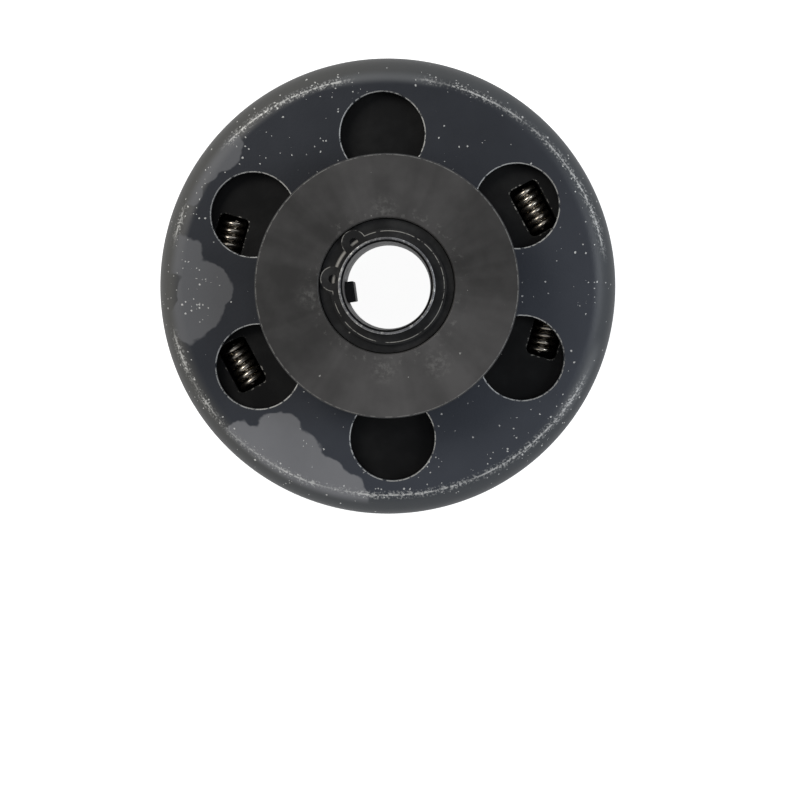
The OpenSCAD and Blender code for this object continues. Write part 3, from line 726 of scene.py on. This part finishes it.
def hub_finish(sizes, finish, groups):
    """Turned bright steel; the outside below the shoulder is still black, and the mouth's chamfer is made black."""
    material, tree, place = new_material("Hub steel")
    around = use_group(tree, groups["polar"], {"Place": place})
    radius = around.outputs["Radius"]
    height = put(tree, "SeparateXYZ", {0: place}).outputs["Z"]
    rings = noise(tree, put(tree, "CombineXYZ", {"X": radius, "Y": height}).outputs[0], 1500.0, 2.0, 0.6)
    clouds = noise(tree, place, 220.0, 4.0, 0.6)
    outside = smooth_step(tree, radius, sizes.bore + 0.35 * MM, sizes.bore + 0.5 * MM)
    low = smooth_step(tree, height, DRIVER_HIGH.z, DRIVER_HIGH.z - 1 * MM)
    # The mouth's chamfer is made black as well
    mouth = smooth_step(tree, radius, sizes.bore + sizes.mouth + 0.05 * MM, sizes.bore + sizes.mouth - 0.05 * MM)
    upper = smooth_step(tree, height, HUB_HIGH.z - sizes.mouth - 0.05 * MM, HUB_HIGH.z - sizes.mouth + 0.05 * MM)
    black = math_of(tree, "MAXIMUM", math_of(tree, "MULTIPLY", outside, low), math_of(tree, "MULTIPLY", mouth, upper))
    base = mix_colour(tree, smooth_step(tree, clouds, 0.35, 0.7), opaque(finish.bright), (0.16, 0.16, 0.165, 1))
    rubbed = smooth_step(tree, noise(tree, place, 1100.0, 4.0, 0.7), 0.50, 0.64, 0.0, 0.7)
    base = mix_colour(tree, math_of(tree, "MULTIPLY", rubbed, upper), base, (0.85, 0.84, 0.80, 1))
    base = mix_colour(tree, black, base, opaque(finish.black))
    rough = math_of(tree, "MULTIPLY_ADD", clouds, 0.2, 0.24)
    surface(tree, base, rough, 0.9, rings, 0.00001)
    return material


def plain_finish(name, rgb, rough_to, clouds_scale=220.0):
    """Bare turned steel."""
    material, tree, place = new_material(name)
    clouds = noise(tree, place, clouds_scale, 4.0, 0.6)
    darker = tuple(0.5 * c for c in rgb)
    base = mix_colour(tree, smooth_step(tree, clouds, 0.35, 0.7), opaque(rgb), opaque(darker))
    surface(tree, base, math_of(tree, "MULTIPLY_ADD", clouds, 0.2, rough_to - 0.1), 0.9)
    return material


def black_finish(
    name, rgb, groups, roughness=0.34, wear=0.05, shine=0.35, rubbed=None, highlighted_outline=None, windows=None
):
    """Blackened and oiled steel with specks, a bright ring, worn lines on the windows' rims, and a painted highlight
    along an outline.
    """
    material, tree, place = new_material(name)
    clouds = noise(tree, place, 180.0, 4.0, 0.6)
    specks = use_group(tree, groups["specks"], {"Place": place, "Scale": 600.0, "Size": 0.14, "Share": wear})
    marks = math_of(tree, "MULTIPLY", specks.outputs[0], 0.6)
    if rubbed:
        radius = use_group(tree, groups["polar"], {"Place": place}).outputs["Radius"]
        ring = {"Place": place, "Distance": radius, "At": rubbed, "Width": 0.5 * MM, "Breaks": 0.2, "Scale": 900.0}
        marks = math_of(tree, "MAXIMUM", marks, use_group(tree, groups["line"], ring).outputs["Mask"])
    # A painted highlight as a thin bright line along the outline's edge
    if highlighted_outline:
        edge = {"Place": place, "Distance": blots(tree, place, highlighted_outline, 0.2 * MM), "Width": 0.13 * MM, "Breaks": 0.40, "Scale": 400.0}
        outline = math_of(tree, "MULTIPLY", use_group(tree, groups["line"], edge).outputs["Mask"], 0.7)
        marks = math_of(tree, "MAXIMUM", marks, outline)
    if windows:
        away = window_distance(tree, place, windows)
        rim = {"Place": place, "Distance": away, "At": 0.2 * MM, "Width": 0.2 * MM, "Breaks": 0.53, "Scale": 950.0}
        rim_line = use_group(tree, groups["line"], rim).outputs["Mask"]
        marks = math_of(tree, "MAXIMUM", marks, math_of(tree, "MULTIPLY", rim_line, 0.75))
    lighter = tuple(min(1.0, c * 2.6) for c in rgb)
    base = mix_colour(tree, smooth_step(tree, clouds, 0.4, 0.75), opaque(rgb), opaque(lighter))
    base = mix_colour(tree, marks, base, (0.62, 0.60, 0.55, 1))
    rough = math_of(tree, "MULTIPLY_ADD", clouds, 0.2, roughness - 0.1)
    metal = math_of(tree, "MULTIPLY", marks, 0.6)
    surface(tree, base, rough, metal, noise(tree, place, 1600.0, 2.0), 0.00001, specular_ior_level=shine)
    return material


def spring_finish(finish):
    """Oiled dark spring wire with sharp warm highlights."""
    material, tree, place = new_material("Spring wire")
    clouds = noise(tree, place, 500.0, 3.0, 0.6)
    base = mix_colour(tree, smooth_step(tree, clouds, 0.4, 0.7), opaque(finish.spring), (0.36, 0.325, 0.28, 1))
    surface(tree, base, math_of(tree, "MULTIPLY_ADD", clouds, 0.1, 0.23), 1.0)
    return material


def bronze_finish(finish, groups):
    material, tree, place = new_material("Bush bronze")
    pores = use_group(tree, groups["specks"], {"Place": place, "Scale": 2400.0, "Size": 0.35, "Share": 0.4})
    base = mix_colour(tree, pores.outputs[0], opaque(finish.bronze), (0.06, 0.035, 0.02, 1))
    surface(tree, base, 0.4, 0.9)
    return material


def finish_set(settings):
    """All finishes, built once and kept by name."""
    if "Drum oxide" not in bpy.data.materials:
        groups = {"polar": polar_group(), "specks": specks_group(), "line": line_group()}
        finish = settings.finish
        drum_finish(settings.drum, finish, groups)
        pulley_finish(settings.pulley, finish, groups)
        hub_finish(settings.hub, finish, groups)
        plain_finish("Washer steel", finish.bright, 0.34)
        black_finish("Black oxide", finish.black, groups)
        # A bright ring on the washer where the circlip sits, seen through the circlip's gap and lug holes
        black_finish("Oxide with bright ring", finish.black, groups, rubbed=12.2 * MM)
        black_finish("Circlip oxide", finish.black, groups, highlighted_outline=CIRCLIP_OUTLINE)
        black_finish("Plate oxide", finish.plate, groups, 0.40, 0.03, 0.25, windows=settings.spring)
        black_finish("Rivet oxide", finish.black, groups, roughness=0.4, wear=0.1)
        spring_finish(finish)
        bronze_finish(finish, groups)
    return bpy.data.materials


# Pieces


class CLUTCH_OT_drum(bpy.types.Operator):
    """Turn the pressed drum, with its rounded corner and its ring of holes"""

    bl_idname = "clutch.drum"
    bl_label = "Drum"

    def execute(self, context):
        settings = context.scene.clutch
        sizes = settings.drum
        top, skirt = DRUM_HIGH.z, DRUM_LOW.z
        face = top - sizes.wall
        outer_r = sizes.diameter / 2
        corner_z = top - sizes.corner
        wall_end_z = corner_z + sizes.corner * math.sin(sizes.taper)
        wall_end_r = outer_r - (wall_end_z - skirt) * math.tan(sizes.taper)
        corner_r = wall_end_r - sizes.corner * math.cos(sizes.taper)
        inner_corner = sizes.corner - sizes.wall
        inner_r = corner_r + inner_corner
        taper_deg = math.degrees(sizes.taper)
        outline = arc((corner_r, corner_z), sizes.corner, 90, taper_deg, 20)
        outline += eased(
            [
                (wall_end_r, wall_end_z),
                (outer_r - sizes.edge * math.tan(sizes.taper), skirt + sizes.edge),
                (outer_r - sizes.edge, skirt),
                (inner_r + sizes.edge, skirt),
                (inner_r, skirt + sizes.edge),
                (inner_r, corner_z),
            ],
            0.15 * MM,
            closed=False,
        )[1:]
        outline += arc((corner_r, corner_z), inner_corner, 0, 90, 10)[1:]
        piece = begin("drum_shell")
        turn(outline, 240, closed=False)
        hole_r = sizes.hole / 2
        rim = eased(
            [(hole_r + sizes.hole_bevel + 0.15 * MM, top), (hole_r + sizes.hole_bevel, top),
             (hole_r, top - sizes.hole_bevel), (hole_r, face)],
            0.12 * MM,
            closed=False,
        )[1:]
        for i in range(sizes.hole_count):
            direction = sizes.hole_first + i * math.tau / sizes.hole_count
            reach = sizes.hole_circle / 2
            turn(rim, 96, (reach * math.cos(direction), reach * math.sin(direction)), closed=False)
        turn([(sizes.spigot / 2, top), (sizes.spigot / 2, face)], 96, closed=False)
        fill_level(piece, top)
        fill_level(piece, face)
        close_piece(piece)
        seat(piece, "output", ["drum"], finish_set(settings)["Drum oxide"])
        return {"FINISHED"}


class CLUTCH_OT_pulley(bpy.types.Operator):
    """Turn the belt pulley in one piece, from its staked spigot to the recess in its face"""

    bl_idname = "clutch.pulley"
    bl_label = "Pulley"

    def execute(self, context):
        settings = context.scene.clutch
        sizes = settings.pulley
        drum_top, drum_face = DRUM_HIGH.z, DRUM_HIGH.z - settings.drum.wall
        low, top = PULLEY_LOW.z, PULLEY_HIGH.z
        rim_r = PULLEY_HIGH.x
        root_r, spigot_r = sizes.root / 2, sizes.spigot / 2
        recess_r = CLIP_WASHER_HIGH.x + sizes.recess_gap
        boss_top = drum_top + sizes.boss_height
        groove_low = boss_top + sizes.lower_rim
        groove_high = top - sizes.upper_rim
        side = (rim_r - root_r) * math.tan(math.radians(17.5))
        stake_t = drum_face - low
        outline = [
            (sizes.bore, low),
            (spigot_r + sizes.stake_reach - stake_t / 2, low),
            (spigot_r + sizes.stake_reach, low + stake_t / 2),
            (spigot_r + sizes.stake_reach, drum_face),
            (spigot_r, drum_face),
            (spigot_r, drum_top),
            (sizes.boss / 2, drum_top),
            (sizes.boss / 2, boss_top),
            (rim_r - sizes.edge, boss_top),
            (rim_r, boss_top + sizes.edge),
            (rim_r, groove_low),
            (root_r, groove_low + side),
            (root_r, groove_high - side),
            (rim_r, groove_high),
            (rim_r, top - sizes.edge),
            (rim_r - sizes.edge, top),
            (recess_r + sizes.edge, top),
            (recess_r, top - sizes.edge),
            (recess_r, BUSH_HIGH.z),
            (sizes.bore, BUSH_HIGH.z),
        ]
        piece = begin("belt_pulley")
        turn(eased(outline, 0.2 * MM), 240)
        close_piece(piece)
        seat(piece, "output", ["pulley"], finish_set(settings)["Pulley black"])
        return {"FINISHED"}


class CLUTCH_OT_bush(bpy.types.Operator):
    """Turn the plain bush on which the pulley runs"""

    bl_idname = "clutch.bush"
    bl_label = "Bush"

    def execute(self, context):
        settings = context.scene.clutch
        inner_r = settings.hub.neck + 0.04 * MM
        outline = [
            (inner_r, BUSH_LOW.z), (BUSH_HIGH.x, BUSH_LOW.z), (BUSH_HIGH.x, BUSH_HIGH.z), (inner_r, BUSH_HIGH.z)
        ]
        piece = begin("plain_bush")
        turn(eased(outline, 0.25 * MM), 160)
        close_piece(piece)
        seat(piece, "output", ["bush"], finish_set(settings)["Bush bronze"])
        return {"FINISHED"}


class CLUTCH_OT_hub(bpy.types.Operator):
    """Turn the hub sleeve with its grooves, then cut the keyway and the oil hole"""

    bl_idname = "clutch.hub"
    bl_label = "Hub sleeve"

    def execute(self, context):
        settings = context.scene.clutch
        sizes = settings.hub
        top, shoulder = HUB_HIGH.z, DRIVER_HIGH.z
        clip_low, clip_high = CIRCLIP_LOW.z - 0.03 * MM, CIRCLIP_HIGH.z + 0.03 * MM
        stub_low = sizes.stub_groove_height - sizes.stub_groove_width / 2
        stub_high = sizes.stub_groove_height + sizes.stub_groove_width / 2
        relief_low = shoulder - sizes.relief_width / 2
        relief_high = shoulder + sizes.relief_width / 2
        outline = [
            (sizes.bore + sizes.foot, 0),
            (sizes.body - sizes.foot, 0),
            (sizes.body, sizes.foot),
            (sizes.body, stub_low),
            (sizes.stub_groove, stub_low),
            (sizes.stub_groove, stub_high),
            (sizes.body, stub_high),
            (sizes.body, shoulder),
            (sizes.neck, shoulder),
            (sizes.neck, clip_low),
            (sizes.clip_groove, clip_low),
            (sizes.clip_groove, clip_high),
            (sizes.neck, clip_high),
            (sizes.neck, top - sizes.neck_edge),
            (sizes.neck - sizes.neck_edge, top),
            (sizes.bore + sizes.mouth, top),
            (sizes.bore, top - sizes.mouth),
            (sizes.bore, relief_high),
            (sizes.relief, relief_high),
            (sizes.relief, relief_low),
            (sizes.bore, relief_low),
            (sizes.bore, sizes.foot),
        ]
        piece = begin("hub_sleeve_turned")
        turn(eased(outline, 0.08 * MM, 2), 200)
        bpy.ops.mesh.normals_make_consistent(inside=False)
        bpy.ops.object.mode_set(mode="OBJECT")
        keyway = block((0, -sizes.key_width / 2, -MM), (sizes.key_depth, sizes.key_width / 2, relief_low + MM / 2))
        keyway.data.transform(Matrix.Rotation(sizes.key_direction, 4, "Z"))
        cut(piece, keyway)
        bpy.ops.object.select_all(action="DESELECT")
        bpy.ops.mesh.primitive_cylinder_add(vertices=32, radius=sizes.oil_hole / 2, depth=sizes.neck)
        drill = bpy.context.object
        drill.data.transform(Matrix.Rotation(math.pi / 2, 4, "Y"))
        drill.data.transform(Matrix.Translation((sizes.neck, 0, top - sizes.oil_hole_inset)))
        drill.data.transform(Matrix.Rotation(sizes.oil_hole_direction, 4, "Z"))
        cut(piece, drill)
        close_piece(piece)
        seat(piece, "hub", ["hub_sleeve"], finish_set(settings)["Hub steel"])
        return {"FINISHED"}


class CLUTCH_OT_hub_fittings(bpy.types.Operator):
    """Ease the edges of the key, the driver, the washers and the circlip"""

    bl_idname = "clutch.hub_fittings"
    bl_label = "Key, driver and circlip"

    def execute(self, context):
        finishes = finish_set(context.scene.clutch)
        edges = {
            "drive_key": 0.25 * MM,
            "driver": 0.3 * MM,
            "circlip": 0.12 * MM,
        }
        for node, edge in edges.items():
            kind = "Circlip oxide" if node == "circlip" else "Black oxide"
            seat(eased_copy(node, edge), "hub", [node], finishes[kind])
        washer = eased_copy("circlip_washer", 0.08 * MM)
        seat(washer, "hub", ["circlip_washer"], finishes["Oxide with bright ring"])
        washer = eased_copy("driver_washer", 0.1 * MM)
        seat(washer, "hub", ["driver_washer"], finishes["Washer steel"])
        return {"FINISHED"}


class CLUTCH_OT_shoes(bpy.types.Operator):
    """Ease the edges of every shoe plate and filler, and dress the rivets"""

    bl_idname = "clutch.shoes"
    bl_label = "Shoes"

    def execute(self, context):
        finishes = finish_set(context.scene.clutch)
        for node in SHOE_NODES:
            body = node[:6]
            seat(eased_copy(node, 0.12 * MM), body, [node], finishes["Plate oxide"])
        for body in ("shoe_a", "shoe_b"):
            node = body + "_rivets"
            seat(eased_copy(node, 0.05 * MM, 50), body, [node], finishes["Rivet oxide"])
        return {"FINISHED"}


class CLUTCH_OT_springs(bpy.types.Operator):
    """Wind the eight compression springs into their windows"""

    bl_idname = "clutch.springs"
    bl_label = "Springs"

    def wind(self, sizes, name):
        """One spring along Z around the origin, made by screwing a ring of wire."""
        bpy.ops.object.select_all(action="DESELECT")
        coil_r = (sizes.diameter - sizes.wire) / 2
        run = sizes.length - sizes.wire
        bpy.ops.mesh.primitive_circle_add(
            vertices=12, radius=sizes.wire / 2, location=(coil_r, 0, -run / 2), rotation=(math.pi / 2, 0, 0)
        )
        spring = bpy.context.object
        spring.name = spring.data.name = name
        bpy.ops.object.transform_apply(location=True, rotation=True, scale=True)
        spring.data.transform(Matrix.Rotation(math.pi / 2, 4, "Z"))
        apply_modifier(
            spring, "SCREW", angle=math.tau, screw_offset=run / sizes.turns, iterations=sizes.turns,
            steps=32, render_steps=32, use_merge_vertices=False,
        )
        bpy.ops.object.mode_set(mode="EDIT")
        bpy.ops.mesh.select_all(action="SELECT")
        bpy.ops.mesh.remove_doubles(threshold=TINY)
        bpy.ops.mesh.select_all(action="DESELECT")
        bpy.ops.mesh.select_non_manifold()
        bpy.ops.mesh.edge_face_add()
        bpy.ops.object.mode_set(mode="OBJECT")
        return spring

    def execute(self, context):
        settings = context.scene.clutch
        sizes = settings.spring
        spread = math.degrees(sizes.spread)
        windows = {
            "spring_right_back": spread,
            "spring_right_front": -spread,
            "spring_left_back": 180 - spread,
            "spring_left_front": 180 + spread,
        }
        for node, offset_deg in windows.items():
            low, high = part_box(node)
            direction = sizes.parting + math.radians(offset_deg)
            middle = Vector((math.cos(direction), math.sin(direction), 0)) * sizes.circle / 2
            for level, height in (("lower", low.z + sizes.diameter / 2), ("upper", high.z - sizes.diameter / 2)):
                spring = self.wind(sizes, f"{node}_{level}")
                spring.data.transform(Matrix.Rotation(-math.pi / 2, 4, "X"))
                spring.data.transform(Matrix.Rotation(direction, 4, "Z"))
                spring.data.transform(Matrix.Translation((middle.x, middle.y, height)))
                close_piece(spring, 60)
                seat(spring, "hub", [node], finish_set(settings)["Spring wire"])
                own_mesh(spring)
        return {"FINISHED"}


class CLUTCH_OT_stage(bpy.types.Operator):
    """Set the white table, the softboxes, the surroundings and the camera"""

    bl_idname = "clutch.stage"
    bl_label = "Table, lights and camera"

    def table(self):
        """A white plane under the clutch, clear from below so that the underside shows there."""
        bpy.ops.object.select_all(action="DESELECT")
        bpy.ops.mesh.primitive_plane_add(size=12, location=(0, 0, -0.02 * MM))
        table = bpy.context.object
        table.name = "table"
        material, tree, _ = new_material("White table")
        shader = surface(tree, (0.55, 0.55, 0.55, 1), 0.9, emission_color=(1, 1, 1, 1))
        seen = put(tree, "LightPath").outputs["Is Camera Ray"]
        tree.links.new(math_of(tree, "MULTIPLY_ADD", seen, 0.65, 0.3), shader.inputs["Emission Strength"])
        below = put(tree, "NewGeometry").outputs["Backfacing"]
        clear = put(tree, "BsdfTransparent").outputs[0]
        either = put(tree, "MixShader", {0: below, 1: shader.outputs[0], 2: clear})
        tree.links.new(either.outputs[0], tree.nodes["Material Output"].inputs["Surface"])
        table.data.materials.append(material)

    def softbox(self, name, place, width, power, tint):
        data = bpy.data.lights.new(name, "AREA")
        data.shape = "RECTANGLE"
        data.size, data.size_y = width
        data.energy = power
        data.color = tint
        lamp = bpy.data.objects.new(name, data)
        bpy.context.scene.collection.objects.link(lamp)
        lamp.location = place
        lamp.rotation_mode = "QUATERNION"
        lamp.rotation_quaternion = (Vector(place) - Vector((0, 0, 0.03))).to_track_quat("Z", "Y")

    def surroundings(self):
        """White to the camera; for reflections a dark ceiling over bright walls, warm left and cool right."""
        world = bpy.context.scene.world or bpy.data.worlds.new("Studio")
        bpy.context.scene.world = world
        world.use_nodes = True
        tree = world.node_tree
        tree.nodes.clear()
        aim = put(tree, "TexCoord").outputs["Generated"]
        parts = put(tree, "SeparateXYZ", {0: aim})
        ceiling = smooth_step(tree, parts.outputs["Z"], 0.35, 0.98)
        side = smooth_step(tree, parts.outputs["X"], -0.7, 0.7)
        walls = mix_colour(tree, side, (1.0, 0.98, 0.93, 1), (0.80, 0.84, 0.90, 1))
        room = mix_colour(tree, ceiling, walls, (0.16, 0.165, 0.18, 1))
        horizon = smooth_step(tree, parts.outputs["Z"], 0.22, -0.05, 0.0, 0.4)
        room = mix_colour(tree, horizon, room, (0.06, 0.065, 0.075, 1))
        seen = put(tree, "LightPath").outputs["Is Camera Ray"]
        shown = mix_colour(tree, seen, room, (1.0, 1.0, 1.0, 1))
        background = put(tree, "Background", {"Color": shown, "Strength": 1.0})
        output = put(tree, "OutputWorld")
        tree.links.new(background.outputs[0], output.inputs["Surface"])

    def execute(self, context):
        stage = context.scene.clutch.stage
        self.table()
        self.softbox("key_left", (-0.52, 0.40, 0.93), (0.4, 0.5), stage.key_power, (1.0, 0.97, 0.92))
        self.softbox("fill_right", (0.66, 0.05, 0.80), (0.3, 0.5), stage.fill_power, (0.90, 0.95, 1.0))
        self.surroundings()
        data = bpy.data.cameras.new("camera")
        data.lens = stage.lens
        data.sensor_width = 36
        data.clip_start, data.clip_end = 0.05, 20
        camera = bpy.data.objects.new("camera", data)
        context.scene.collection.objects.link(camera)
        camera.location = (7.3 * MM, -4.9 * MM, stage.height)
        camera.rotation_euler = (stage.tip, stage.lean, 0)
        context.scene.camera = camera
        context.scene.view_settings.view_transform = "Standard"
        return {"FINISHED"}


OPERATORS = (
    CLUTCH_OT_drum,
    CLUTCH_OT_pulley,
    CLUTCH_OT_bush,
    CLUTCH_OT_hub,
    CLUTCH_OT_hub_fittings,
    CLUTCH_OT_shoes,
    CLUTCH_OT_springs,
    CLUTCH_OT_stage,
)


class CLUTCH_PT_panel(bpy.types.Panel):
    """The clutch's build steps, in order"""

    bl_label = "Centrifugal clutch"
    bl_space_type = "VIEW_3D"
    bl_region_type = "UI"
    bl_category = "Clutch"

    def draw(self, context):
        for operator in OPERATORS:
            self.layout.operator(operator.bl_idname)


CLASSES = (
    DrumSizes,
    PulleySizes,
    HubSizes,
    SpringSizes,
    Finishes,
    StageSettings,
    ClutchSettings,
    *OPERATORS,
    CLUTCH_PT_panel,
)


def register():
    for cls in CLASSES:
        bpy.utils.register_class(cls)
    bpy.types.Scene.clutch = PointerProperty(type=ClutchSettings)


def unregister():
    del bpy.types.Scene.clutch
    for cls in reversed(CLASSES):
        bpy.utils.unregister_class(cls)


def main():
    register()
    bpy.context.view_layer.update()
    for operator in OPERATORS:
        group, name = operator.bl_idname.split(".")
        getattr(getattr(bpy.ops, group), name)()


if __name__ == "__main__":
    main()
